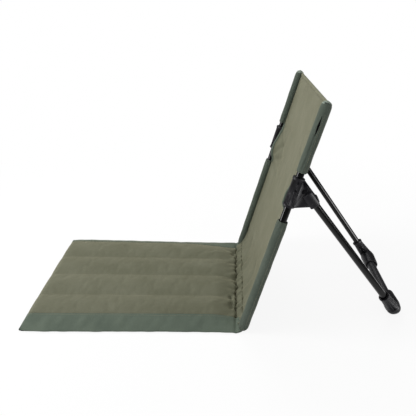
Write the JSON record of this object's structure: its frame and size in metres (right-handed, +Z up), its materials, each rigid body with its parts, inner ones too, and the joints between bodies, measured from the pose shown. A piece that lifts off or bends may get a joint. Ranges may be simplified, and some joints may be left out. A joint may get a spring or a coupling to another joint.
{
  "type": "folding ground chair",
  "caption": "Legless folding camping chair: padded seat mat on the ground, sling back on poles, and a rear prop frame that folds flat.",
  "frame": {"origin": "centre of the seat mat's underside, on the ground", "axes": "+Z up, +Y towards the back and the prop frame, +X towards the sitter's left"},
  "size_m": [0.454, 0.9243, 0.5389],
  "materials": {
    "khaki_cloth": "matt woven polyester, khaki",
    "green_cloth": "matt woven polyester, dark green",
    "binding": "matt woven tape, dark green",
    "base_cloth": "coated polyester, dark",
    "foam": "open foam strip",
    "black_tube": "gloss black powder coat",
    "black_plastic": "satin moulded nylon, black",
    "steel": "black-coated steel"
  },
  "bodies": {
    "seat": {"seat_base_sheet": "base_cloth", "seat_foam_1": "foam", "seat_foam_2": "foam", "seat_foam_3": "foam", "seat_foam_4": "foam", "seat_top_cover": "khaki_cloth", "seat_border_left": "green_cloth", "seat_border_right": "green_cloth", "seat_front_binding": "binding", "crease_seam": "binding"},
    "back": {"back_panel": "khaki_cloth", "top_hem": "khaki_cloth", "notch_tape_left": "binding", "notch_tape_right": "binding", "lower_sleeve_left": "green_cloth", "lower_sleeve_right": "green_cloth", "upper_sleeve_left": "green_cloth", "upper_sleeve_right": "green_cloth", "back_pole_left": "black_tube", "back_pole_right": "black_tube", "pole_foot_caps": "black_plastic", "pole_top_caps": "black_plastic", "hub_left": "black_plastic", "hub_right": "black_plastic", "hub_screws": "steel", "pivot_rivet_left": "steel", "pivot_rivet_right": "steel"},
    "leg_frame": {"leg_tube_left": "black_tube", "leg_tube_right": "black_tube", "leg_plug_left": "black_plastic", "leg_plug_right": "black_plastic", "elbow_left": "black_plastic", "elbow_right": "black_plastic", "cross_bar": "black_tube"}
  },
  "joints": [
    {"name": "back_fold", "type": "hinge", "parent": "seat", "child": "back", "pos_m": [0, 0.263, 0.01], "axis": [1, 0, 0], "range_deg": [0, 106.5]},
    {"name": "leg_fold", "type": "hinge", "parent": "back", "child": "leg_frame", "pos_m": [0, 0.39908, 0.35491], "axis": [-1, 0, 0], "range_deg": [0, 52.2]}
  ]
}
